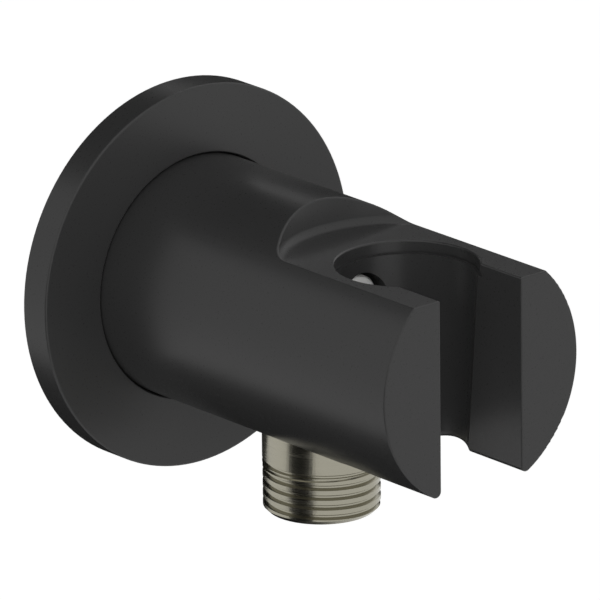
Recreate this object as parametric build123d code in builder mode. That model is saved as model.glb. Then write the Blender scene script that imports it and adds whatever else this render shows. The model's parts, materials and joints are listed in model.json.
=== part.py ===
from build123d import *
import os
from math import radians, sqrt, tan

# Wall outlet elbow with a fixed hand shower holder. All sizes are in millimetres.
# The wall is the plane y = 0. The body points away from it along -Y, and +Z is up.
# The origin is where the body's axis meets the wall.
# A "distance" is measured from the wall, a "height" from the body's axis and a "drop"
# from the body's axis downwards.

# Housing
body_radius = 22.15
body_length = 81.7
body_wall = 3.0
rear_distance = 0.8
rear_chamfer = 0.6
edge_round = 0.3
low_round = 1.1

# Flat on top of the holder, with its land beside the rim, and the scooped wall behind it
flat_land = 2.45
scoop_radius = 22.75
scoop_fillet = 1.5
scoop_draft = 6.0

# Holder for the hand shower: rim, fine groove and tapered bore, open to the front
holder_distance = 62.4
rim_radius = 12.65
rim_depth = 1.9
groove_width = 0.5
groove_depth = 0.25
cone_step = 0.45
cone_draft = 2.8
slot_width = 18.5

# Fixing screw, M5 with a low head
screw_height = 6.4
screw_radius = 2.5
screw_length = 8.0
screw_end_chamfer = 0.5
head_radius = 4.25
head_height = 3.5
head_recess = 1.3
head_edge = 0.3
head_hole_radius = 5.0
key_width = 3.0
key_depth = 2.2
screw_clearance = 0.25
web_thickness = 2.26

# Rosette
rosette_radius = 35.0
rosette_thickness = 6.0
rosette_plate = 2.2
rosette_rim = 4.0
rosette_hub = 3.6
rosette_hub_gap = 0.6
rosette_round = 0.35
rosette_inner_round = 0.8
hole_clearance = 0.3
hole_chamfer = 0.2

# Ring against the wall
seal_width = 1.5
seal_depth = 1.2
seal_clearance = 0.05

# O-rings: section diameters, how far the rosette's ring is squeezed, and the play of the others
rosette_ring_section = 1.78
rosette_ring_squeeze = 0.2
nipple_ring_section = 1.5
valve_ring_section = 1.2
ring_play = 0.04

# Water elbow
inlet_radius = 10.48
inlet_length = 13.0
inlet_chamfer = 0.8
hexagon_width = 24.0
hexagon_distance = 2.0
hexagon_length = 7.0
hexagon_chamfer = 0.8
tube_radius = 8.0
channel_radius = 5.5
inlet_bore_radius = 7.5
inlet_bore_length = 12.0
bend_radius = 12.0
socket_radius = 10.0
socket_top_drop = 6.0
socket_bottom_drop = 16.0
lug_radius = 5.6
lug_length = 10.0
cavity_play = 0.6
tapped_extra = 0.7

# Outlet nipple, G1/2 below and a thinner thread above
outlet_distance = 39.0
nipple_radius = 10.4
neck_radius = 10.45
neck_end_drop = 25.9
relief_width = 0.7
relief_depth = 0.4
nipple_end_drop = 34.65
nipple_chamfer = 0.8
spigot_radius = 8.3
spigot_top_drop = 8.0
spigot_chamfer = 0.7
thread_clearance = 0.05
nipple_hole_clearance = 0.15
nipple_key_width = 10.0
cartridge_bore_radius = 7.3
cartridge_top_drop = 19.5

# Non-return valve cartridge in the nipple
cartridge_clearance = 0.12
seat_flange = 1.0
seat_radius = 4.2
seat_skirt_length = 1.8
cage_inner_radius = 6.1
cage_length = 10.6
skirt_clearance = 0.05
spider_depth = 2.0
spider_hub_radius = 2.6
spoke_width = 1.2
spoke_count = 4
guide_clearance = 0.1
stem_radius = 1.3
poppet_radius = 5.0
poppet_plate = 1.0
poppet_hub_radius = 3.4
poppet_dome = 0.9
poppet_travel = 2.0
poppet_seal_thickness = 0.9
poppet_seal_gap = 0.05
spring_wire = 0.4
spring_radius = 2.1
spring_turns = 4
spring_play = 0.05

# How close an edge has to lie to a place to be picked there, and how far a cutter reaches past the body
near = 0.01
cutter_reach = 0.5

# Places and sizes that follow from the ones above
holder_y = -holder_distance
outlet_y = -outlet_distance
cavity_radius = body_radius - body_wall
cone_slope = tan(radians(cone_draft))
cone_radius = rim_radius - cone_step
flat_height = sqrt(body_radius**2 - (rim_radius + flat_land) ** 2)
rim_bottom = flat_height - rim_depth
cone_top = rim_bottom - groove_width
cone_radius_at_screw = cone_radius - (cone_top - screw_height) * cone_slope
head_face_distance = holder_distance - cone_radius_at_screw - head_recess
head_seat_distance = head_face_distance - head_height
lug_face_distance = head_seat_distance - web_thickness
lug_top = screw_height + lug_radius
cavity_front_height = lug_top + cavity_play
scoop_back_distance = holder_distance - scoop_radius
cavity_step_distance = scoop_back_distance - body_wall - (flat_height - cavity_front_height)
outlet_hole_radius = neck_radius + nipple_hole_clearance
rosette_hole_radius = body_radius + hole_clearance
screw_end_distance = head_seat_distance - screw_length
cone_bottom = -body_radius - cutter_reach
cone_bottom_radius = cone_radius - (cone_top - cone_bottom) * cone_slope
above_body = body_radius + cutter_reach

os.makedirs("parts", exist_ok=True)

# Middle line of the water's way through the brass elbow
with BuildLine(Plane.YZ) as water_path:
    FilletPolyline(
        (-hexagon_distance, 0),
        (outlet_y, 0),
        (outlet_y, -socket_bottom_drop),
        radius=bend_radius,
    )


# Housing: one casting, black coated
with BuildPart() as housing:
    with BuildSketch(Plane.XZ.offset(rear_distance)):
        Circle(body_radius)
    extrude(amount=body_length - rear_distance)
    chamfer(housing.edges().sort_by(Axis.Y)[-1], length=rear_chamfer)

    # the flat
    with BuildSketch(Plane.XY.offset(flat_height)):
        with Locations((0, holder_y)):
            Rectangle(2 * above_body, 2 * body_length, align=(Align.CENTER, Align.MAX))
    extrude(amount=above_body, mode=Mode.SUBTRACT)

    # the scooped wall: a drafted, filleted cutter turned about the holder's axis
    flare = above_body * tan(radians(scoop_draft))
    with BuildSketch(Plane.YZ) as cutter_section:
        with BuildLine():
            Polyline(
                (holder_y, flat_height),
                (holder_y + scoop_radius, flat_height),
                (holder_y + scoop_radius + flare, flat_height + above_body),
                (holder_y, flat_height + above_body),
                close=True,
            )
        make_face()
        fillet(cutter_section.vertices().group_by(Axis.Y)[0].sort_by(Axis.X)[-1], radius=scoop_fillet)
    revolve(axis=Axis((0, holder_y, 0), (0, 0, 1)), mode=Mode.SUBTRACT)

    # holder bore: rim, fine groove and cone
    with BuildSketch(Plane.YZ):
        with BuildLine():
            Polyline(
                (holder_y, above_body),
                (holder_y + rim_radius, above_body),
                (holder_y + rim_radius, rim_bottom),
                (holder_y + rim_radius + groove_depth, rim_bottom),
                (holder_y + rim_radius + groove_depth, cone_top),
                (holder_y + cone_radius, cone_top),
                (holder_y + cone_bottom_radius, cone_bottom),
                (holder_y, cone_bottom),
                close=True,
            )
        make_face()
    revolve(axis=Axis((0, holder_y, 0), (0, 0, 1)), mode=Mode.SUBTRACT)

    # slot from the bore to the front
    with BuildSketch(Plane.XY.offset(-above_body)):
        with Locations((0, holder_y)):
            Rectangle(slot_width, 2 * body_length, align=(Align.CENTER, Align.MAX))
    extrude(amount=2 * above_body, mode=Mode.SUBTRACT)

    # the low edges of bore and slot are rounded so that the hose slips in
    edges = housing.edges()
    low_edges = edges.filter_by_position(Axis.Z, -above_body, -cavity_radius)
    slot_edges = low_edges.filter_by(lambda edge: abs(abs(edge.center().X) - slot_width / 2) < near)
    fillet(low_edges.filter_by(GeomType.BSPLINE) + slot_edges, radius=low_round)

    # the front, the flat and the scoop have finely broken edges, apart from the scoop's foot
    edges = housing.edges()
    front_edges = edges.filter_by_position(Axis.Y, -body_length - near, -body_length + near)
    flat_edges = edges.filter_by_position(Axis.Z, flat_height - near, flat_height + near)
    scoop_edges = edges.filter_by_position(Axis.Z, flat_height + near, above_body)
    fillet(
        front_edges
        + flat_edges.sort_by(Axis.Y)[:-1].filter_by_position(Axis.Y, -body_length + near, 0)
        + scoop_edges.filter_by(GeomType.BSPLINE),
        radius=edge_round,
    )

    # cavity for the water elbow, round behind and lower under the flat
    with BuildSketch(Plane.XZ):
        Circle(cavity_radius)
    extrude(amount=cavity_step_distance, mode=Mode.SUBTRACT)
    with BuildSketch(Plane.XZ):
        Circle(cavity_radius)
        with Locations((0, cavity_front_height)):
            Rectangle(
                2 * cavity_radius, cavity_radius, align=(Align.CENTER, Align.MIN), mode=Mode.SUBTRACT
            )
    extrude(amount=lug_face_distance, mode=Mode.SUBTRACT)
    with BuildSketch(Plane.XY.offset(-above_body)):
        with Locations((0, outlet_y)):
            Circle(outlet_hole_radius)
    extrude(amount=above_body - socket_top_drop + cavity_play, mode=Mode.SUBTRACT)
    with BuildSketch(Plane.XZ.offset(hexagon_distance)):
        Circle(tube_radius + cavity_play)
    sweep(path=water_path.wire(), mode=Mode.SUBTRACT)

    # hole for the screw through the web, with room for its head
    with BuildSketch(Plane.XZ):
        with Locations((0, screw_height)):
            Circle(screw_radius + screw_clearance)
    extrude(amount=holder_distance, mode=Mode.SUBTRACT)
    with BuildSketch(Plane.XZ.offset(head_seat_distance)):
        with Locations((0, screw_height)):
            Circle(head_hole_radius)
    extrude(amount=holder_distance - head_seat_distance, mode=Mode.SUBTRACT)
housing.part.label = "housing"
export_step(housing.part, "parts/housing.step")


# Rosette: turned cover plate, hollow behind, with a hub round the housing
hub_outer_radius = rosette_hole_radius + rosette_hub
rim_inner_radius = rosette_radius - rosette_rim
pocket_distance = rosette_thickness - rosette_plate
ring_height = rosette_ring_section - rosette_ring_squeeze
hub_groove_radius = body_radius + ring_height
hub_groove_width = rosette_ring_section + 2 * ring_play
hub_middle = (rosette_hub_gap + rosette_thickness) / 2
seal_middle_radius = rosette_radius - rosette_rim / 2
with BuildPart() as rosette:
    with BuildSketch(Plane.XY) as rosette_section:
        with BuildLine():
            Polyline(
                (rosette_hole_radius, -rosette_hub_gap),
                (hub_outer_radius, -rosette_hub_gap),
                (hub_outer_radius, -pocket_distance),
                (rim_inner_radius, -pocket_distance),
                (rim_inner_radius, 0),
                (rosette_radius, 0),
                (rosette_radius, -rosette_thickness),
                (rosette_hole_radius, -rosette_thickness),
                close=True,
            )
        make_face()
        front_corners = rosette_section.vertices().group_by(Axis.Y)[0].sort_by(Axis.X)
        fillet(front_corners[-1], radius=rosette_round)
        chamfer(rosette_section.vertices().group_by(Axis.Y)[0].sort_by(Axis.X)[0], length=hole_chamfer)
        pocket_corners = rosette_section.vertices().filter_by_position(
            Axis.Y, -pocket_distance - near, -pocket_distance + near
        )
        pocket_round = min(rosette_inner_round, 0.4 * (rim_inner_radius - hub_outer_radius))
        fillet(pocket_corners, radius=pocket_round)
        with Locations((rosette_hole_radius, -hub_middle)):
            Rectangle(
                hub_groove_radius - rosette_hole_radius,
                hub_groove_width,
                align=(Align.MIN, Align.CENTER),
                mode=Mode.SUBTRACT,
            )
        with Locations((seal_middle_radius, 0)):
            Rectangle(
                seal_width + 2 * seal_clearance,
                seal_depth,
                align=(Align.CENTER, Align.MAX),
                mode=Mode.SUBTRACT,
            )
    revolve(axis=Axis.Y)
rosette.part.label = "rosette"
export_step(rosette.part, "parts/rosette.step")


# Flat ring in the groove of the rosette's rim, flush with the wall
with BuildPart() as wall_seal:
    with BuildSketch(Plane.XZ):
        Circle(seal_middle_radius + seal_width / 2)
        Circle(seal_middle_radius - seal_width / 2, mode=Mode.SUBTRACT)
    extrude(amount=seal_depth)
wall_seal.part.label = "wall_seal"
export_step(wall_seal.part, "parts/wall_seal.step")


# O-ring in the rosette's hub, pressed flat against the housing inside and the groove outside
with BuildPart() as rosette_o_ring:
    with BuildSketch(Plane.XY):
        with Locations((body_radius + ring_height / 2, -hub_middle)):
            Circle(rosette_ring_section / 2)
            Rectangle(ring_height, rosette_ring_section, mode=Mode.INTERSECT)
    revolve(axis=Axis.Y)
rosette_o_ring.part.label = "rosette_o_ring"
export_step(rosette_o_ring.part, "parts/rosette_o_ring.step")


# Water elbow: brass, with the inlet thread, spanner hexagon, bend, socket and lug
hexagon_end = hexagon_distance + hexagon_length
lug_back_distance = lug_face_distance - lug_length
socket_bore_radius = spigot_radius + thread_clearance
ring_seat_depth = nipple_ring_section + 2 * ring_play
ring_seat_inner = spigot_radius - nipple_ring_section / 2
ring_seat_outer = ring_seat_inner + nipple_ring_section + 2 * ring_play
with BuildPart() as water_elbow:
    with BuildSketch(Plane.XZ.offset(-inlet_length)):
        Circle(inlet_radius)
    extrude(amount=inlet_length + hexagon_distance)
    chamfer(water_elbow.edges().sort_by(Axis.Y)[-1], length=inlet_chamfer)
    with BuildSketch(Plane.XZ.offset(hexagon_distance)):
        RegularPolygon(hexagon_width / 2, 6, major_radius=False)
    extrude(amount=hexagon_length)
    with BuildSketch(Plane.YZ):
        with Locations((-hexagon_end, 0)):
            Rectangle(
                hexagon_length, hexagon_width / 2 - hexagon_chamfer, align=(Align.MIN, Align.MIN)
            )
    revolve(axis=Axis.Y)

    # bent tube
    with BuildSketch(Plane.XZ.offset(hexagon_distance)):
        Circle(tube_radius)
    sweep(path=water_path.wire())
    with BuildSketch(Plane.XY.offset(-socket_bottom_drop)):
        with Locations((0, outlet_y)):
            Circle(socket_radius)
    extrude(amount=socket_bottom_drop - socket_top_drop)

    # lug for the screw
    with BuildSketch(Plane.XZ.offset(lug_back_distance)):
        with Locations((0, screw_height)):
            Circle(lug_radius)
        Rectangle(2 * lug_radius, screw_height, align=(Align.CENTER, Align.MIN))
    extrude(amount=lug_length)

    # waterway
    with BuildSketch(Plane.XZ.offset(hexagon_distance)):
        Circle(channel_radius)
    sweep(path=water_path.wire(), mode=Mode.SUBTRACT)
    with BuildSketch(Plane.XZ.offset(-inlet_length)):
        Circle(inlet_bore_radius)
    extrude(amount=inlet_bore_length, mode=Mode.SUBTRACT)
    with BuildSketch(Plane.XZ.offset(-inlet_length)):
        Circle(channel_radius)
    extrude(amount=inlet_length + hexagon_distance, mode=Mode.SUBTRACT)
    with BuildSketch(Plane.XY.offset(-socket_bottom_drop)):
        with Locations((0, outlet_y)):
            Circle(socket_bore_radius)
    extrude(amount=socket_bottom_drop - spigot_top_drop + thread_clearance, mode=Mode.SUBTRACT)
    with BuildSketch(Plane.XY.offset(-socket_bottom_drop)):
        with Locations((0, outlet_y)):
            Circle(ring_seat_outer)
    extrude(amount=ring_seat_depth, mode=Mode.SUBTRACT)

    # tapped hole
    with BuildSketch(Plane.XZ.offset(screw_end_distance - tapped_extra)):
        with Locations((0, screw_height)):
            Circle(screw_radius + thread_clearance)
    extrude(amount=lug_face_distance - screw_end_distance + tapped_extra, mode=Mode.SUBTRACT)
water_elbow.part.label = "water_elbow"
export_step(water_elbow.part, "parts/water_elbow.step")


# Fixing screw: low head with a hexagon socket
with BuildPart() as fixing_screw:
    with BuildSketch(Plane.XZ.offset(head_seat_distance)):
        with Locations((0, screw_height)):
            Circle(head_radius)
    extrude(amount=head_height)
    chamfer(fixing_screw.edges().sort_by(Axis.Y)[0], length=head_edge)
    with BuildSketch(Plane.XZ.offset(screw_end_distance)):
        with Locations((0, screw_height)):
            Circle(screw_radius)
    extrude(amount=screw_length)
    chamfer(fixing_screw.edges().sort_by(Axis.Y)[-1], length=screw_end_chamfer)
    with BuildSketch(Plane.XZ.offset(head_face_distance - key_depth)):
        with Locations((0, screw_height)):
            RegularPolygon(key_width / 2, 6, major_radius=False)
    extrude(amount=key_depth, mode=Mode.SUBTRACT)
fixing_screw.part.label = "fixing_screw"
export_step(fixing_screw.part, "parts/fixing_screw.step")


# Outlet nipple: turned, with an O-ring seat under its upper thread
with BuildPart() as outlet_nipple:
    with BuildSketch(Plane.YZ) as nipple_section:
        with BuildLine():
            Polyline(
                (outlet_y, -spigot_top_drop),
                (outlet_y + spigot_radius, -spigot_top_drop),
                (outlet_y + spigot_radius, -socket_bottom_drop + ring_seat_depth),
                (outlet_y + ring_seat_inner, -socket_bottom_drop + ring_seat_depth),
                (outlet_y + ring_seat_inner, -socket_bottom_drop),
                (outlet_y + neck_radius, -socket_bottom_drop),
                (outlet_y + neck_radius, -neck_end_drop),
                (outlet_y + nipple_radius - relief_depth, -neck_end_drop - relief_depth / 2),
                (outlet_y + nipple_radius - relief_depth, -neck_end_drop - relief_width),
                (outlet_y + nipple_radius, -neck_end_drop - relief_width),
                (outlet_y + nipple_radius, -nipple_end_drop),
                (outlet_y, -nipple_end_drop),
                close=True,
            )
        make_face()
        chamfer(nipple_section.vertices().group_by(Axis.Y)[0].sort_by(Axis.X)[-1], length=nipple_chamfer)
        chamfer(nipple_section.vertices().group_by(Axis.Y)[-1].sort_by(Axis.X)[-1], length=spigot_chamfer)
    revolve(axis=Axis((0, outlet_y, 0), (0, 0, 1)))
    with BuildSketch(Plane.XY.offset(-nipple_end_drop)):
        with Locations((0, outlet_y)):
            Circle(cartridge_bore_radius)
    extrude(amount=nipple_end_drop - cartridge_top_drop, mode=Mode.SUBTRACT)
    with BuildSketch(Plane.XY.offset(-cartridge_top_drop)):
        with Locations((0, outlet_y)):
            RegularPolygon(nipple_key_width / 2, 6, major_radius=False)
    extrude(amount=cartridge_top_drop - spigot_top_drop, mode=Mode.SUBTRACT)
outlet_nipple.part.label = "outlet_nipple"
export_step(outlet_nipple.part, "parts/outlet_nipple.step")


# O-ring between nipple and socket
with BuildPart() as nipple_o_ring:
    with BuildSketch(Plane.YZ):
        ring_middle = ring_seat_inner + ring_play + nipple_ring_section / 2
        with Locations((outlet_y + ring_middle, -socket_bottom_drop + ring_seat_depth / 2)):
            Circle(nipple_ring_section / 2)
    revolve(axis=Axis((0, outlet_y, 0), (0, 0, 1)))
nipple_o_ring.part.label = "nipple_o_ring"
export_step(nipple_o_ring.part, "parts/nipple_o_ring.step")


# Non-return valve, from the top: seat, O-ring, cage with the poppet and its spring
cartridge_radius = cartridge_bore_radius - cartridge_clearance
skirt_radius = cage_inner_radius - skirt_clearance
valve_ring_space = valve_ring_section + 2 * ring_play
flange_bottom = -cartridge_top_drop - seat_flange
cage_top = flange_bottom - valve_ring_space
seat_bottom = cage_top - seat_skirt_length
cage_bottom = cage_top - cage_length
spider_top = cage_bottom + spider_depth
poppet_top = seat_bottom - poppet_seal_gap - poppet_seal_thickness
poppet_bottom = poppet_top - poppet_plate
stem_end = cage_bottom + poppet_travel / 2
outlet_axis = Axis((0, outlet_y, 0), (0, 0, 1))

with BuildPart() as valve_seat:
    with BuildSketch(Plane.XY.offset(flange_bottom)):
        with Locations((0, outlet_y)):
            Circle(cartridge_radius)
            Circle(seat_radius, mode=Mode.SUBTRACT)
    extrude(amount=seat_flange)
    with BuildSketch(Plane.XY.offset(seat_bottom)):
        with Locations((0, outlet_y)):
            Circle(skirt_radius)
            Circle(seat_radius, mode=Mode.SUBTRACT)
    extrude(amount=flange_bottom - seat_bottom)
valve_seat.part.label = "valve_seat"
export_step(valve_seat.part, "parts/valve_seat.step")

with BuildPart() as valve_o_ring:
    with BuildSketch(Plane.YZ):
        valve_ring_middle = skirt_radius + ring_play + valve_ring_section / 2
        with Locations((outlet_y + valve_ring_middle, (flange_bottom + cage_top) / 2)):
            Circle(valve_ring_section / 2)
    revolve(axis=outlet_axis)
valve_o_ring.part.label = "valve_o_ring"
export_step(valve_o_ring.part, "parts/valve_o_ring.step")

with BuildPart() as valve_cage:
    with BuildSketch(Plane.XY.offset(cage_bottom)):
        with Locations((0, outlet_y)):
            Circle(cartridge_radius)
            Circle(cage_inner_radius, mode=Mode.SUBTRACT)
    extrude(amount=cage_length)
    with BuildSketch(Plane.XY.offset(cage_bottom)):
        with Locations((0, outlet_y)):
            with PolarLocations(0, spoke_count):
                Rectangle(cage_inner_radius + skirt_clearance, spoke_width, align=(Align.MIN, Align.CENTER))
            Circle(spider_hub_radius)
            Circle(stem_radius + guide_clearance, mode=Mode.SUBTRACT)
    extrude(amount=spider_depth)
valve_cage.part.label = "valve_cage"
export_step(valve_cage.part, "parts/valve_cage.step")

with BuildPart() as valve_poppet:
    with BuildSketch(Plane.YZ):
        with BuildLine():
            Polyline(
                (outlet_y, seat_bottom + poppet_dome),
                (outlet_y + poppet_hub_radius - poppet_dome, seat_bottom + poppet_dome),
                (outlet_y + poppet_hub_radius, seat_bottom),
                (outlet_y + poppet_hub_radius, poppet_top),
                (outlet_y + poppet_radius, poppet_top),
                (outlet_y + poppet_radius, poppet_bottom),
                (outlet_y + stem_radius, poppet_bottom),
                (outlet_y + stem_radius, stem_end),
                (outlet_y, stem_end),
                close=True,
            )
        make_face()
    revolve(axis=outlet_axis)
valve_poppet.part.label = "valve_poppet"
export_step(valve_poppet.part, "parts/valve_poppet.step")

with BuildPart() as poppet_seal:
    with BuildSketch(Plane.XY.offset(poppet_top)):
        with Locations((0, outlet_y)):
            Circle(poppet_radius)
            Circle(poppet_hub_radius, mode=Mode.SUBTRACT)
    extrude(amount=poppet_seal_thickness)
poppet_seal.part.label = "poppet_seal"
export_step(poppet_seal.part, "parts/poppet_seal.step")

spring_bottom = spider_top + spring_play + spring_wire / 2
spring_top = poppet_bottom - spring_play - spring_wire / 2
with BuildPart() as valve_spring:
    with BuildLine() as spring_path:
        coil = Helix(
            pitch=(spring_top - spring_bottom) / spring_turns,
            height=spring_top - spring_bottom,
            radius=spring_radius,
            center=(0, outlet_y, spring_bottom),
        )
    with BuildSketch(Plane(origin=coil @ 0, z_dir=coil % 0)):
        Circle(spring_wire / 2)
    sweep(path=spring_path.wire())
valve_spring.part.label = "valve_spring"
export_step(valve_spring.part, "parts/valve_spring.step")
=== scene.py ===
"""Dresses a black wall outlet elbow with a hand shower holder: coats, metals, threads and a small studio."""

import json
from math import cos, pi, radians, sin, tan

import bmesh
import bpy
from mathutils import Matrix, Vector


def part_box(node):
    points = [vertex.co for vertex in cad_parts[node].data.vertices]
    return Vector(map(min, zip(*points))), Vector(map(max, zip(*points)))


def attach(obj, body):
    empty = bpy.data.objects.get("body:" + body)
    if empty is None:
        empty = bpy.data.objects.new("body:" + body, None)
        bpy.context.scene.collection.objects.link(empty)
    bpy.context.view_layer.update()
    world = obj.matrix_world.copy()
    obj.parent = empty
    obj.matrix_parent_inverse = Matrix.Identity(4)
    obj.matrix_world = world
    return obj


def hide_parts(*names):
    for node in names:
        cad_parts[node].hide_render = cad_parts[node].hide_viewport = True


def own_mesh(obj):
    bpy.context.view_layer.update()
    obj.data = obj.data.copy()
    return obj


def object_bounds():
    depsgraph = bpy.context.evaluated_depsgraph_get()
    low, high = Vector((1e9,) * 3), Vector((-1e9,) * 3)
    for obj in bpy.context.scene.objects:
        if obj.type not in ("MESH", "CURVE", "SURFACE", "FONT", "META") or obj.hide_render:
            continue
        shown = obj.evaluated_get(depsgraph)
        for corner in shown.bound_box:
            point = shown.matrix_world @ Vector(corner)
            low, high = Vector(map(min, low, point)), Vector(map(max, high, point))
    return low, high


bl_info = {
    "name": "Wall Outlet Elbow",
    "version": (1, 0, 0),
    "blender": (4, 5, 0),
    "location": "3D View > Sidebar > Wall Outlet",
    "description": "Coats, metals, threads and studio of a wall outlet elbow with a hand shower holder",
    "category": "Object",
}

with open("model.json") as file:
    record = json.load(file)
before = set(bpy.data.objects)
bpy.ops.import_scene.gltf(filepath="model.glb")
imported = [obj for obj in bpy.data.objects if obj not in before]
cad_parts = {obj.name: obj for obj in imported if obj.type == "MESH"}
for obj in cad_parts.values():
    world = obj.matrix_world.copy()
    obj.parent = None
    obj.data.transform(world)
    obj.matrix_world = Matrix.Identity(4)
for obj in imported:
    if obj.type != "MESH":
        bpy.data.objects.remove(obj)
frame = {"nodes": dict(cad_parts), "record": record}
cad_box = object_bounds()

MM = 0.001
MERGE_DISTANCE = 0.0005 * MM
FITTING = "fitting"
MOUNTS = {mount["name"]: mount for mount in frame["record"]["mounts"]}


# Colours and nodes

def linear(hex_code):
    """The linear RGBA colour of an sRGB hex code such as #2B2B2C."""
    channels = [int(hex_code[i:i + 2], 16) / 255 for i in (1, 3, 5)]
    return [c / 12.92 if c <= 0.04045 else ((c + 0.055) / 1.055) ** 2.4 for c in channels] + [1.0]


def add_node(tree, kind, settings=None, inputs=None):
    """Adds a node of that kind, sets its properties, and sets or links its inputs."""
    node = tree.nodes.new(kind)
    for name, value in (settings or {}).items():
        setattr(node, name, value)
    for name, value in (inputs or {}).items():
        socket = node.inputs[name]
        if isinstance(value, bpy.types.NodeSocket):
            tree.links.new(value, socket)
        else:
            socket.default_value = value
    return node


def new_material(name, colour, roughness, metallic=0.0):
    """A material with one Principled surface. Returns it with its tree and its shader."""
    material = bpy.data.materials.new(name)
    material.use_nodes = True
    material.diffuse_color = colour
    material.roughness = roughness
    material.metallic = metallic
    tree = material.node_tree
    tree.nodes.clear()
    shader = add_node(tree, "ShaderNodeBsdfPrincipled", inputs={
        "Base Color": colour, "Roughness": roughness, "Metallic": metallic,
    })
    add_node(tree, "ShaderNodeOutputMaterial", inputs={"Surface": shader.outputs["BSDF"]})
    return material, tree, shader


def grain(tree, size_mm, detail=2.0, stretch=(1.0, 1.0, 1.0)):
    """Noise on Object coordinates, with a grain about size_mm across, longer where stretch is above 1."""
    place = add_node(tree, "ShaderNodeTexCoord")
    mapping = add_node(tree, "ShaderNodeMapping", inputs={
        "Vector": place.outputs["Object"], "Scale": [1 / (MM * size_mm * s) for s in stretch],
    })
    noise = add_node(tree, "ShaderNodeTexNoise", inputs={
        "Vector": mapping.outputs["Vector"], "Scale": 1.0, "Detail": detail,
    })
    return noise.outputs["Fac"]


def vary_roughness(tree, shader, source, low, high):
    """Moves the roughness between low and high by the grain."""
    spread = add_node(tree, "ShaderNodeMapRange", inputs={
        "Value": source, "From Min": 0.3, "From Max": 0.7, "To Min": low, "To Max": high,
    })
    tree.links.new(spread.outputs["Result"], shader.inputs["Roughness"])


def vary_colour(tree, shader, source, dark, light):
    """Moves the base colour between two near tones by the grain."""
    mix = add_node(tree, "ShaderNodeMix", {"data_type": "RGBA"})
    tree.links.new(source, mix.inputs["Factor"])
    mix.inputs[6].default_value = dark
    mix.inputs[7].default_value = light
    tree.links.new(mix.outputs[2], shader.inputs["Base Color"])


def add_bump(tree, shader, source, depth_mm):
    """Bump whose full height is depth_mm."""
    relief = add_node(tree, "ShaderNodeBump", inputs={
        "Height": source, "Distance": depth_mm * MM, "Strength": 1.0,
    })
    tree.links.new(relief.outputs["Normal"], shader.inputs["Normal"])


# Materials, each named for what the real one is

def powder_coat(finish):
    """Matt black powder coat on cast zinc: soft wide highlights and a barely visible skin."""
    colour = linear(finish.coat_hex)
    material, tree, shader = new_material("matt_black_powder_coat", colour, finish.coat_roughness)
    shader.inputs["IOR"].default_value = finish.coat_ior
    skin = grain(tree, finish.coat_grain_mm)
    vary_roughness(tree, shader, skin, finish.coat_roughness - 0.03, finish.coat_roughness + 0.03)
    # the real skin is finer than a pixel, and is drawn as coarse as it needs to show
    add_bump(tree, shader, skin, finish.coat_relief_mm)
    return material


def nickel_plate(finish):
    """Dark nickel plate over turned brass: bright, a little yellow, with fine turning lines."""
    colour = linear(finish.nickel_hex)
    material, tree, shader = new_material("dark_nickel_plate", colour, finish.nickel_roughness, 1.0)
    lines = grain(tree, finish.turning_mm, stretch=(60.0, 60.0, 1.0))
    vary_roughness(tree, shader, lines, finish.nickel_roughness - 0.03, finish.nickel_roughness + 0.04)
    add_bump(tree, shader, lines, finish.turning_depth_mm)
    return material


def machined_brass(finish):
    """Brass as cast and turned: warm, satin, and slightly uneven in tone."""
    colour, tarnish = linear(finish.brass_hex), linear("#B08A4C")
    material, tree, shader = new_material("machined_brass", colour, 0.32, 1.0)
    tone = grain(tree, 1.6, detail=4.0)
    vary_colour(tree, shader, tone, tarnish, colour)
    vary_roughness(tree, shader, tone, 0.26, 0.40)
    add_bump(tree, shader, grain(tree, 0.12), 0.01)
    return material


def stainless_steel(name, colour, roughness):
    """Stainless steel with a light drawn grain: bright on the spring; blasted on the screw, whose colour is
    painted paler than steel so that its recessed head shows bright as if lit.
    """
    material, tree, shader = new_material(name, colour, roughness, 1.0)
    grind = grain(tree, 0.15, stretch=(8.0, 1.0, 1.0))
    vary_roughness(tree, shader, grind, roughness - 0.06, roughness + 0.08)
    add_bump(tree, shader, grind, 0.004)
    return material


def seal_rubber():
    """Moulded black rubber: dull, with a dusty bloom."""
    colour, dusty = linear("#1B1B1B"), linear("#262625")
    material, tree, shader = new_material("black_nitrile_rubber", colour, 0.7)
    bloom = grain(tree, 0.7, detail=4.0)
    vary_colour(tree, shader, bloom, colour, dusty)
    vary_roughness(tree, shader, bloom, 0.62, 0.8)
    add_bump(tree, shader, grain(tree, 0.1), 0.006)
    return material


def acetal(name, hex_code):
    """Moulded acetal of the valve cartridge: smooth, waxy and slightly see-through."""
    colour = linear(hex_code)
    material, tree, shader = new_material(name, colour, 0.38)
    shader.inputs["IOR"].default_value = 1.48
    shader.inputs["Subsurface Weight"].default_value = 0.12
    shader.inputs["Subsurface Scale"].default_value = 0.4 * MM
    flow = grain(tree, 2.0, detail=3.0)
    vary_roughness(tree, shader, flow, 0.33, 0.44)
    add_bump(tree, shader, grain(tree, 0.25), 0.004)
    return material


# Pieces

def give_material(piece, material):
    """Puts the material into every slot of a piece, or gives it one."""
    if not piece.data.materials:
        piece.data.materials.append(material)
    for index in range(len(piece.material_slots)):
        piece.material_slots[index].material = material


def merged_copy(node_name, piece_name):
    """A closed copy of a CAD node's mesh as a new object, with its doubles merged."""
    mesh = bpy.data.meshes.new(piece_name)
    work = bmesh.new()
    work.from_mesh(frame["nodes"][node_name].data)
    bmesh.ops.remove_doubles(work, verts=work.verts, dist=MERGE_DISTANCE)
    work.to_mesh(mesh)
    work.free()
    if "custom_normal" in mesh.attributes:
        mesh.attributes.remove(mesh.attributes["custom_normal"])
    piece = bpy.data.objects.new(piece_name, mesh)
    bpy.context.scene.collection.objects.link(piece)
    return piece


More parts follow.
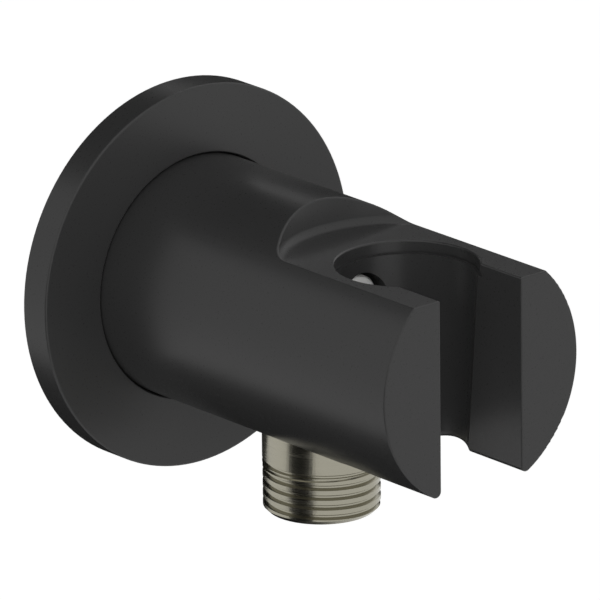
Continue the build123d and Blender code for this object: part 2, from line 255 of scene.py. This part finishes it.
def plain_mesh(piece, name):
    """Turns a piece with modifiers into a plain mesh."""
    depsgraph = bpy.context.evaluated_depsgraph_get()
    mesh = bpy.data.meshes.new_from_object(piece.evaluated_get(depsgraph))
    mesh.name = name
    piece.modifiers.clear()
    piece.data = mesh
    return piece


def face_outwards(mesh):
    """Merges doubles and turns every face of a closed mesh outwards."""
    work = bmesh.new()
    work.from_mesh(mesh)
    bmesh.ops.remove_doubles(work, verts=work.verts, dist=MERGE_DISTANCE)
    bmesh.ops.recalc_face_normals(work, faces=work.faces)
    work.to_mesh(mesh)
    work.free()


# Thread

SHARP_EDGE = radians(25)
# turns by which the outlet's groove is longer than its mount, at both ends together
OUTLET_EXTRA_TURNS = 2.0
# turns over which each groove grows shallow at its end
OUTLET_RUN_OUT_TURNS = 0.5
INLET_RUN_OUT_TURNS = 0.6

GROOVE_INPUTS = (
    ("Radius", "NodeSocketFloat", 10.4 * MM),
    ("Pitch", "NodeSocketFloat", 1.814 * MM),
    ("Turns", "NodeSocketFloat", 5.0),
    ("Steps per Turn", "NodeSocketInt", 96),
    ("Depth", "NodeSocketFloat", 0.6 * MM),
    ("Reach", "NodeSocketFloat", 0.1 * MM),
    ("Mouth Width", "NodeSocketFloat", 1.0 * MM),
    ("Root Width", "NodeSocketFloat", 0.27 * MM),
    ("Run-out", "NodeSocketFloat", 0.1),
    ("Material", "NodeSocketMaterial", None),
)


def groove_tree():
    """A Geometry Nodes tree that sweeps a thread's groove along a helix, to be cut from a cylinder."""
    tree = bpy.data.node_groups.new("Thread Groove", "GeometryNodeTree")
    tree.interface.new_socket("Geometry", in_out="OUTPUT", socket_type="NodeSocketGeometry")
    for name, kind, default in GROOVE_INPUTS:
        socket = tree.interface.new_socket(name, in_out="INPUT", socket_type=kind)
        if default is not None:
            socket.default_value = default
    given = add_node(tree, "NodeGroupInput").outputs

    def calc(operation, first, second):
        node = add_node(tree, "ShaderNodeMath", {"operation": operation})
        for socket, value in zip(node.inputs, (first, second)):
            if isinstance(value, bpy.types.NodeSocket):
                tree.links.new(value, socket)
            else:
                socket.default_value = value
        return node.outputs[0]

    helix = add_node(tree, "GeometryNodeCurveSpiral", inputs={
        "Resolution": given["Steps per Turn"],
        "Rotations": given["Turns"],
        "Start Radius": given["Radius"],
        "End Radius": given["Radius"],
        "Height": calc("MULTIPLY", given["Turns"], given["Pitch"]),
    })
    upright = add_node(tree, "GeometryNodeSetCurveNormal", {"mode": "Z_UP"}, {
        "Curve": helix.outputs["Curve"],
    })

    # the groove grows shallow over the last share of the helix
    along = add_node(tree, "GeometryNodeSplineParameter")
    left = calc("SUBTRACT", 1.0, along.outputs["Factor"])
    taper = calc("MINIMUM", calc("DIVIDE", left, given["Run-out"]), 1.0)
    tapered = add_node(tree, "GeometryNodeSetCurveRadius", inputs={
        "Curve": upright.outputs["Curve"], "Radius": calc("MAXIMUM", taper, 0.02),
    })

    # the profile cuts in by the depth and reaches a little out of the cylinder, with the same flanks
    height = calc("ADD", given["Depth"], given["Reach"])
    flare = calc("SUBTRACT", given["Mouth Width"], given["Root Width"])
    flare_per_depth = calc("DIVIDE", flare, given["Depth"])
    profile = add_node(tree, "GeometryNodeCurvePrimitiveQuadrilateral", {"mode": "TRAPEZOID"}, {
        "Bottom Width": given["Root Width"],
        "Top Width": calc("ADD", given["Root Width"], calc("MULTIPLY", flare_per_depth, height)),
        "Offset": 0.0,
        "Height": height,
    })
    inwards = add_node(tree, "ShaderNodeCombineXYZ", inputs={
        "X": calc("MULTIPLY", calc("SUBTRACT", given["Depth"], given["Reach"]), 0.5),
    })
    turned = add_node(tree, "GeometryNodeTransform", inputs={
        "Geometry": profile.outputs["Curve"],
        "Rotation": (0.0, 0.0, pi / 2),
        "Translation": inwards.outputs["Vector"],
    })
    width = add_node(tree, "GeometryNodeInputRadius")
    swept = add_node(tree, "GeometryNodeCurveToMesh", inputs={
        "Curve": tapered.outputs["Curve"],
        "Profile Curve": turned.outputs["Geometry"],
        "Scale": width.outputs["Radius"],
        "Fill Caps": True,
    })
    single = add_node(tree, "GeometryNodeRealizeInstances", inputs={"Geometry": swept.outputs["Mesh"]})
    coated = add_node(tree, "GeometryNodeSetMaterial", inputs={
        "Geometry": single.outputs["Geometry"], "Material": given["Material"],
    })
    add_node(tree, "NodeGroupOutput", inputs={"Geometry": coated.outputs["Geometry"]})
    return tree


def helical_cutter(name, tree, values, placement):
    """A closed helical solid made by the groove tree, moved to its place."""
    cutter = bpy.data.objects.new(name, bpy.data.meshes.new(name))
    bpy.context.scene.collection.objects.link(cutter)
    modifier = cutter.modifiers.new("groove", "NODES")
    modifier.node_group = tree
    identifiers = {item.name: item.identifier for item in tree.interface.items_tree}
    for input_name, value in values.items():
        modifier[identifiers[input_name]] = value
    plain_mesh(cutter, name)
    cutter.data.transform(placement)
    face_outwards(cutter.data)
    return cutter


def groove_values(thread, radius, turns, depth, mouth_share, root_share, run_out_turns):
    """The groove tree's inputs for one thread."""
    return {
        "Radius": radius,
        "Pitch": thread.pitch,
        "Turns": turns,
        "Steps per Turn": thread.steps,
        "Depth": depth,
        "Reach": thread.reach,
        "Mouth Width": mouth_share * thread.pitch,
        "Root Width": root_share * thread.pitch,
        "Run-out": run_out_turns / turns,
    }


def cut_thread(piece, cutter, material):
    """Cuts the helical solid out of the piece and smooths what is left between its sharp edges."""
    modifier = piece.modifiers.new("thread", "BOOLEAN")
    modifier.operation = "DIFFERENCE"
    modifier.solver = "EXACT"
    modifier.object = cutter
    plain_mesh(piece, piece.name)
    bpy.data.objects.remove(cutter)
    piece.data.materials.clear()
    piece.data.materials.append(material)
    piece.data.polygons.foreach_set("material_index", [0] * len(piece.data.polygons))
    piece.data.shade_smooth()
    piece.data.set_sharp_from_angle(angle=SHARP_EDGE)


# Settings

class FinishSettings(bpy.types.PropertyGroup):
    coat_hex: bpy.props.StringProperty(
        name="Coat", description="sRGB colour of the black powder coat", default="#363636",
    )
    coat_roughness: bpy.props.FloatProperty(
        name="Coat Roughness", description="Roughness of the powder coat", default=0.3,
        min=0.0, max=1.0, subtype="FACTOR",
    )
    # a real coat has about 1.5, which mirrors too much of a studio that is white all round
    coat_ior: bpy.props.FloatProperty(
        name="Coat IOR", description="Refractive index of the powder coat", default=1.33, min=1.0, max=2.0,
    )
    coat_grain_mm: bpy.props.FloatProperty(
        name="Coat Grain", description="Size of the coat's skin in millimetres", default=0.35, min=0.05,
    )
    coat_relief_mm: bpy.props.FloatProperty(
        name="Coat Relief", description="Depth of the coat's skin in millimetres", default=0.003, min=0.0,
    )
    nickel_hex: bpy.props.StringProperty(
        name="Nickel", description="sRGB colour of the nickel plate", default="#9C998B",
    )
    nickel_roughness: bpy.props.FloatProperty(
        name="Nickel Roughness", description="Roughness of the nickel plate", default=0.24,
        min=0.0, max=1.0, subtype="FACTOR",
    )
    turning_mm: bpy.props.FloatProperty(
        name="Turning Lines", description="Spacing of the turning lines in millimetres", default=0.25,
        min=0.02,
    )
    turning_depth_mm: bpy.props.FloatProperty(
        name="Turning Depth", description="Depth of the turning lines in millimetres", default=0.006, min=0.0,
    )
    brass_hex: bpy.props.StringProperty(
        name="Brass", description="sRGB colour of the brass", default="#C9A766",
    )
    steel_hex: bpy.props.StringProperty(
        name="Steel", description="sRGB colour of the spring's stainless steel", default="#C9C9C6",
    )
    # painted light: the screw's colour is painted paler than its steel, so that its head down in the recess
    # shows bright as if light reached it
    screw_painted_pale_hex: bpy.props.StringProperty(
        name="Screw", description="sRGB colour of the screw's blasted steel", default="#F4F4F2",
    )
    screw_roughness: bpy.props.FloatProperty(
        name="Screw Roughness", description="Roughness of the screw's blasted steel", default=0.7,
        min=0.1, max=0.9, subtype="FACTOR",
    )


class ThreadSettings(bpy.types.PropertyGroup):
    pitch: bpy.props.FloatProperty(
        name="Pitch", description="Pitch of the pipe thread", default=1.814 * MM, min=0.1 * MM,
        unit="LENGTH", precision=5,
    )
    outlet_depth: bpy.props.FloatProperty(
        name="Outlet Depth", description="Depth of the outlet's thread", default=0.6 * MM,
        min=0.0, unit="LENGTH", precision=5,
    )
    inlet_depth: bpy.props.FloatProperty(
        name="Inlet Depth", description="Depth of the inlet's thread", default=1.0 * MM,
        min=0.0, unit="LENGTH", precision=5,
    )
    reach: bpy.props.FloatProperty(
        name="Reach", description="How far the groove's cutter stands out of the cylinder", default=0.1 * MM,
        min=0.01 * MM, unit="LENGTH", precision=5,
    )
    outlet_mouth_share: bpy.props.FloatProperty(
        name="Outlet Groove Width", description="Width of the outlet groove's mouth as a share of the pitch",
        default=0.55, min=0.1, max=0.95, subtype="FACTOR",
    )
    outlet_root_share: bpy.props.FloatProperty(
        name="Outlet Root Width", description="Width of the outlet groove's root as a share of the pitch",
        default=0.15, min=0.02, max=0.5, subtype="FACTOR",
    )
    inlet_mouth_share: bpy.props.FloatProperty(
        name="Inlet Groove Width", description="Width of the inlet groove's mouth as a share of the pitch",
        default=0.76, min=0.1, max=0.95, subtype="FACTOR",
    )
    inlet_root_share: bpy.props.FloatProperty(
        name="Inlet Root Width", description="Width of the inlet groove's root as a share of the pitch",
        default=0.18, min=0.02, max=0.5, subtype="FACTOR",
    )
    steps: bpy.props.IntProperty(
        name="Steps per Turn", description="Sections of the groove in one turn", default=96, min=12,
    )


class StudioSettings(bpy.types.PropertyGroup):
    azimuth: bpy.props.FloatProperty(
        name="Azimuth", description="Camera's turn about the vertical", default=radians(-40.305),
        subtype="ANGLE",
    )
    elevation: bpy.props.FloatProperty(
        name="Elevation", description="Camera's height angle", default=radians(18.708), subtype="ANGLE",
    )
    roll: bpy.props.FloatProperty(
        name="Roll", description="Camera's turn about its own axis", default=radians(-0.656), subtype="ANGLE",
    )
    distance: bpy.props.FloatProperty(
        name="Distance", description="From the camera to the plane through the origin", default=1.9454,
        unit="LENGTH",
    )
    aside: bpy.props.FloatVectorProperty(
        name="Aside", description="How far the camera stands right of and above the origin's line",
        size=2, default=(0.021841, -0.005805), unit="LENGTH", precision=6,
    )
    lens_mm: bpy.props.FloatProperty(
        name="Lens", description="Focal length in millimetres, for a sensor 36 mm wide", default=657.5,
    )
    floor_drop: bpy.props.FloatProperty(
        name="Floor Drop", description="How far the floor lies below the fitting", default=4.0, unit="LENGTH",
    )
    world_strength: bpy.props.FloatProperty(
        name="World", description="Strength of the plain surrounding light", default=0.06, min=0.0,
    )
    flag_distance: bpy.props.FloatProperty(
        name="Flag Distance", description="From the fitting to every black flag", default=2.0, unit="LENGTH",
    )
    lamp_distance: bpy.props.FloatProperty(
        name="Lamp Distance", description="From the fitting to every softbox", default=2.2, unit="LENGTH",
    )
    lamp_strength: bpy.props.FloatProperty(
        name="Lamps", description="Factor on the level of all softboxes", default=1.0, min=0.0,
    )


# Operators

class OUTLET_OT_coat_shells(bpy.types.Operator):
    """Coats the housing and the rosette"""
    bl_idname = "outlet.coat_shells"
    bl_label = "Coat Housing and Rosette"

    def execute(self, context):
        material = powder_coat(context.scene.outlet_finish)
        for node in ("housing", "rosette"):
            give_material(frame["nodes"][node], material)
        return {"FINISHED"}


class OUTLET_OT_thread_nipple(bpy.types.Operator):
    """Replaces the plain nipple with a threaded one in nickel plate"""
    bl_idname = "outlet.thread_nipple"
    bl_label = "Thread Outlet Nipple"

    def execute(self, context):
        thread = context.scene.outlet_thread
        mount = MOUNTS["outlet_thread"]
        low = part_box("outlet_nipple")[0]
        middle = Vector(mount["pos_m"])
        length = mount["dims"]["length_mm"] * MM
        turns = length / thread.pitch + OUTLET_EXTRA_TURNS
        values = groove_values(
            thread, mount["dims"]["r_mm"] * MM, turns, thread.outlet_depth,
            thread.outlet_mouth_share, thread.outlet_root_share, OUTLET_RUN_OUT_TURNS,
        )
        start = Vector((middle.x, middle.y, low.z - thread.pitch / 2))
        placement = Matrix.Translation(start)
        cutter = helical_cutter("outlet_groove", groove_tree(), values, placement)
        piece = merged_copy("outlet_nipple", "threaded_outlet_nipple")
        cut_thread(piece, cutter, nickel_plate(context.scene.outlet_finish))
        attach(piece, FITTING)
        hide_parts("outlet_nipple")
        return {"FINISHED"}


class OUTLET_OT_thread_elbow(bpy.types.Operator):
    """Replaces the plain water elbow with one whose inlet is threaded, in brass"""
    bl_idname = "outlet.thread_elbow"
    bl_label = "Thread Water Elbow"

    def execute(self, context):
        thread = context.scene.outlet_thread
        mount = MOUNTS["inlet_thread"]
        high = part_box("water_elbow")[1]
        turns = high.y / thread.pitch
        values = groove_values(
            thread, mount["dims"]["r_mm"] * MM, turns, thread.inlet_depth,
            thread.inlet_mouth_share, thread.inlet_root_share, INLET_RUN_OUT_TURNS,
        )
        start = Vector((0.0, high.y + thread.pitch / 2, 0.0))
        placement = Matrix.Translation(start) @ Matrix.Rotation(pi / 2, 4, "X")
        cutter = helical_cutter("inlet_groove", groove_tree(), values, placement)
        piece = merged_copy("water_elbow", "threaded_water_elbow")
        cut_thread(piece, cutter, machined_brass(context.scene.outlet_finish))
        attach(piece, FITTING)
        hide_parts("water_elbow")
        return {"FINISHED"}


class OUTLET_OT_finish_steel(bpy.types.Operator):
    """Gives the valve spring its bright steel, and the fixing screw blasted steel painted pale so that its
    recessed head shows bright as if lit
    """
    bl_idname = "outlet.finish_steel"
    bl_label = "Finish Screw and Spring"

    def execute(self, context):
        finish = context.scene.outlet_finish
        # painted light: the screw's steel is drawn near white, so that its head shows bright down in the
        # recess
        blasted = stainless_steel("blasted_steel_painted_pale", linear(finish.screw_painted_pale_hex), finish.screw_roughness)
        bright = stainless_steel("bright_stainless_steel", linear(finish.steel_hex), 0.28)
        give_material(frame["nodes"]["fixing_screw"], blasted)
        give_material(frame["nodes"]["valve_spring"], bright)
        return {"FINISHED"}


class OUTLET_OT_finish_seals(bpy.types.Operator):
    """Gives every ring its rubber"""
    bl_idname = "outlet.finish_seals"
    bl_label = "Finish Seals"

    def execute(self, context):
        material = seal_rubber()
        for node in ("wall_seal", "rosette_o_ring", "nipple_o_ring", "valve_o_ring", "poppet_seal"):
            give_material(frame["nodes"][node], material)
        return {"FINISHED"}


class OUTLET_OT_finish_valve(bpy.types.Operator):
    """Gives the non-return valve its plastics"""
    bl_idname = "outlet.finish_valve"
    bl_label = "Finish Valve"

    def execute(self, context):
        natural = acetal("natural_acetal", "#DCDDD6")
        for node in ("valve_seat", "valve_cage"):
            give_material(frame["nodes"][node], natural)
        give_material(frame["nodes"]["valve_poppet"], acetal("blue_acetal", "#335C9E"))
        return {"FINISHED"}


class OUTLET_OT_seat_spring(bpy.types.Operator):
    """Gives each spring that deforms with a joint its own copy of its mesh"""
    bl_idname = "outlet.seat_spring"
    bl_label = "Seat Valve Spring"

    def execute(self, context):
        for joint in frame["record"]["behaviour"]["joints"]:
            for spring in joint.get("deforming_nodes", []):
                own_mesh(frame["nodes"][spring["node"]])
        return {"FINISHED"}


# Studio

SENSOR_MM = 36.0
FLOOR_REACH = 30.0
FLOOR_HEX = "#8A8A8A"
FLOCK_HEX = "#050505"


def direction(azimuth, elevation):
    """The unit vector that points there: azimuth 0 is in front of the wall, and 90 degrees to its right."""
    return Vector((sin(azimuth) * cos(elevation), -cos(azimuth) * cos(elevation), sin(elevation)))


def camera_axes(studio):
    """Unit vectors of the camera: to its right, up, and back from the object."""
    back = direction(studio.azimuth, studio.elevation)
    right = Vector((cos(studio.azimuth), sin(studio.azimuth), 0.0))
    up = back.cross(right)
    turn = studio.roll
    return cos(turn) * right + sin(turn) * up, cos(turn) * up - sin(turn) * right, back


def add_camera(studio):
    """The camera, which looks along its own axis past the origin, so that no shift is needed."""
    right, up, back = camera_axes(studio)
    data = bpy.data.cameras.new("camera")
    data.lens = studio.lens_mm
    data.sensor_width = SENSOR_MM
    data.clip_start = 0.05
    data.clip_end = 50.0
    camera = bpy.data.objects.new("camera", data)
    turn = Matrix((right, up, back)).transposed().to_4x4()
    eye = back * studio.distance + right * studio.aside[0] + up * studio.aside[1]
    camera.matrix_world = Matrix.Translation(eye) @ turn
    bpy.context.scene.collection.objects.link(camera)
    bpy.context.scene.camera = camera


# name, azimuth and elevation, angle that the softbox spans as seen from the fitting, all in degrees,
# and how bright its face is beside a white of 1
LAMPS = (
    ("front_softbox", -37, 9, 72, 1.5),
    ("right_front_softbox", 36, 24, 48, 1.2),
    ("low_right_softbox", 80, -32, 72, 1.1),
    ("top_softbox", -85, 68, 40, 2.0),
    ("low_left_softbox", -70, -52, 32, 2.1),
)

# name, azimuth, elevation and spanned angle of the black flags, which the coat and the nickel mirror
FLAGS = (
    ("high_rear_flag", 175, 42, 54),
    ("low_rear_flag", 168, -47, 63),
    ("right_rear_flag", 138, 1, 48),
    ("left_flag", -82, -19, 48),
)


def facing_fitting(azimuth, elevation, distance):
    """The placement of something round that stands in that direction and faces the fitting."""
    away = direction(radians(azimuth), radians(elevation))
    centre = (Vector(cad_box[0]) + Vector(cad_box[1])) / 2
    turn = away.to_track_quat("Z", "Y").to_matrix().to_4x4()
    return Matrix.Translation(centre + away * distance) @ turn


def add_lamp(studio, name, azimuth, elevation, span, level):
    """A round softbox that lights the fitting and has no mirror image, which the background gives alone."""
    data = bpy.data.lights.new(name, "AREA")
    data.shape = "DISK"
    data.size = 2 * studio.lamp_distance * tan(radians(span / 2))
    area = pi * (data.size / 2) ** 2
    # a disc's face shines as bright as its power divided by pi and by its area
    data.energy = pi * area * level * studio.lamp_strength
    lamp = bpy.data.objects.new(name, data)
    lamp.matrix_world = facing_fitting(azimuth, elevation, studio.lamp_distance)
    lamp.visible_camera = False
    lamp.visible_glossy = False
    bpy.context.scene.collection.objects.link(lamp)


def add_flag(studio, material, name, azimuth, elevation, span):
    """A round black flag that is hidden from the camera itself."""
    mesh = bpy.data.meshes.new(name)
    work = bmesh.new()
    bmesh.ops.create_circle(
        work, cap_ends=True, segments=64, radius=studio.flag_distance * tan(radians(span / 2)),
        matrix=facing_fitting(azimuth, elevation, studio.flag_distance),
    )
    work.to_mesh(mesh)
    work.free()
    mesh.materials.append(material)
    flag = bpy.data.objects.new(name, mesh)
    flag.visible_camera = False
    bpy.context.scene.collection.objects.link(flag)


def background_share(tree):
    """1 where the background is seen directly, mirrored or through glass, and 0 for all other light."""
    rays = add_node(tree, "ShaderNodeLightPath")
    share = rays.outputs["Is Camera Ray"]
    for name in ("Is Glossy Ray", "Is Transmission Ray"):
        joined = add_node(tree, "ShaderNodeMath", {"operation": "MAXIMUM"})
        tree.links.new(share, joined.inputs[0])
        tree.links.new(rays.outputs[name], joined.inputs[1])
        share = joined.outputs[0]
    return share


def pale_floor(studio):
    """A wide floor well below the fitting: pale paint that shows white as the background."""
    mesh = bpy.data.meshes.new("floor")
    height = cad_box[0][2] - studio.floor_drop
    corners = [(x * FLOOR_REACH, y * FLOOR_REACH, height) for x, y in ((-1, -1), (1, -1), (1, 1), (-1, 1))]
    mesh.from_pydata(corners, [], [(0, 1, 2, 3)])
    floor = bpy.data.objects.new("floor", mesh)
    bpy.context.scene.collection.objects.link(floor)
    material = bpy.data.materials.new("pale_floor_paint")
    material.use_nodes = True
    tree = material.node_tree
    tree.nodes.clear()
    paint = add_node(tree, "ShaderNodeBsdfDiffuse", inputs={"Color": linear(FLOOR_HEX)})
    glow = add_node(tree, "ShaderNodeEmission", inputs={"Strength": background_share(tree)})
    both = add_node(tree, "ShaderNodeAddShader")
    tree.links.new(paint.outputs["BSDF"], both.inputs[0])
    tree.links.new(glow.outputs["Emission"], both.inputs[1])
    add_node(tree, "ShaderNodeOutputMaterial", inputs={"Surface": both.outputs["Shader"]})
    mesh.materials.append(material)


def white_world(studio):
    """A world that is white behind the fitting and lights it evenly at a lower level."""
    world = bpy.data.worlds.new("studio")
    world.use_nodes = True
    tree = world.node_tree
    tree.nodes.clear()
    level = add_node(tree, "ShaderNodeMapRange", inputs={
        "Value": background_share(tree), "To Min": studio.world_strength, "To Max": 1.0,
    })
    air = add_node(tree, "ShaderNodeBackground", inputs={
        "Color": (1.0, 1.0, 1.0, 1.0), "Strength": level.outputs["Result"],
    })
    add_node(tree, "ShaderNodeOutputWorld", inputs={"Surface": air.outputs["Background"]})
    bpy.context.scene.world = world


class OUTLET_OT_build_studio(bpy.types.Operator):
    """Builds the floor, the world, the lamps and the camera"""
    bl_idname = "outlet.build_studio"
    bl_label = "Build Studio"

    def execute(self, context):
        studio = context.scene.outlet_studio
        context.scene.view_settings.view_transform = "Standard"
        pale_floor(studio)
        white_world(studio)
        for lamp in LAMPS:
            add_lamp(studio, *lamp)
        flock = new_material("black_flock", linear(FLOCK_HEX), 1.0)[0]
        for flag in FLAGS:
            add_flag(studio, flock, *flag)
        add_camera(studio)
        return {"FINISHED"}


# Panel

OPERATORS = (
    OUTLET_OT_coat_shells,
    OUTLET_OT_thread_nipple,
    OUTLET_OT_thread_elbow,
    OUTLET_OT_finish_steel,
    OUTLET_OT_finish_seals,
    OUTLET_OT_finish_valve,
    OUTLET_OT_seat_spring,
    OUTLET_OT_build_studio,
)
SETTINGS = {
    "outlet_finish": FinishSettings,
    "outlet_thread": ThreadSettings,
    "outlet_studio": StudioSettings,
}


class OUTLET_PT_panel(bpy.types.Panel):
    """Lists the settings and the operators of the wall outlet"""
    bl_label = "Wall Outlet Elbow"
    bl_idname = "OUTLET_PT_panel"
    bl_space_type = "VIEW_3D"
    bl_region_type = "UI"
    bl_category = "Wall Outlet"

    def draw(self, context):
        layout = self.layout
        for operator in OPERATORS:
            layout.operator(operator.bl_idname)
        for attribute, group in SETTINGS.items():
            box = layout.box()
            settings = getattr(context.scene, attribute)
            for name in group.__annotations__:
                box.prop(settings, name)


def register():
    for settings in SETTINGS.values():
        bpy.utils.register_class(settings)
    for operator in OPERATORS:
        bpy.utils.register_class(operator)
    bpy.utils.register_class(OUTLET_PT_panel)
    for attribute, settings in SETTINGS.items():
        setattr(bpy.types.Scene, attribute, bpy.props.PointerProperty(type=settings))


def unregister():
    for attribute in SETTINGS:
        delattr(bpy.types.Scene, attribute)
    bpy.utils.unregister_class(OUTLET_PT_panel)
    for operator in reversed(OPERATORS):
        bpy.utils.unregister_class(operator)
    for settings in SETTINGS.values():
        bpy.utils.unregister_class(settings)


def main():
    register()
    for operator in OPERATORS:
        group, name = operator.bl_idname.split(".")
        getattr(getattr(bpy.ops, group), name)()


if __name__ == "__main__":
    main()
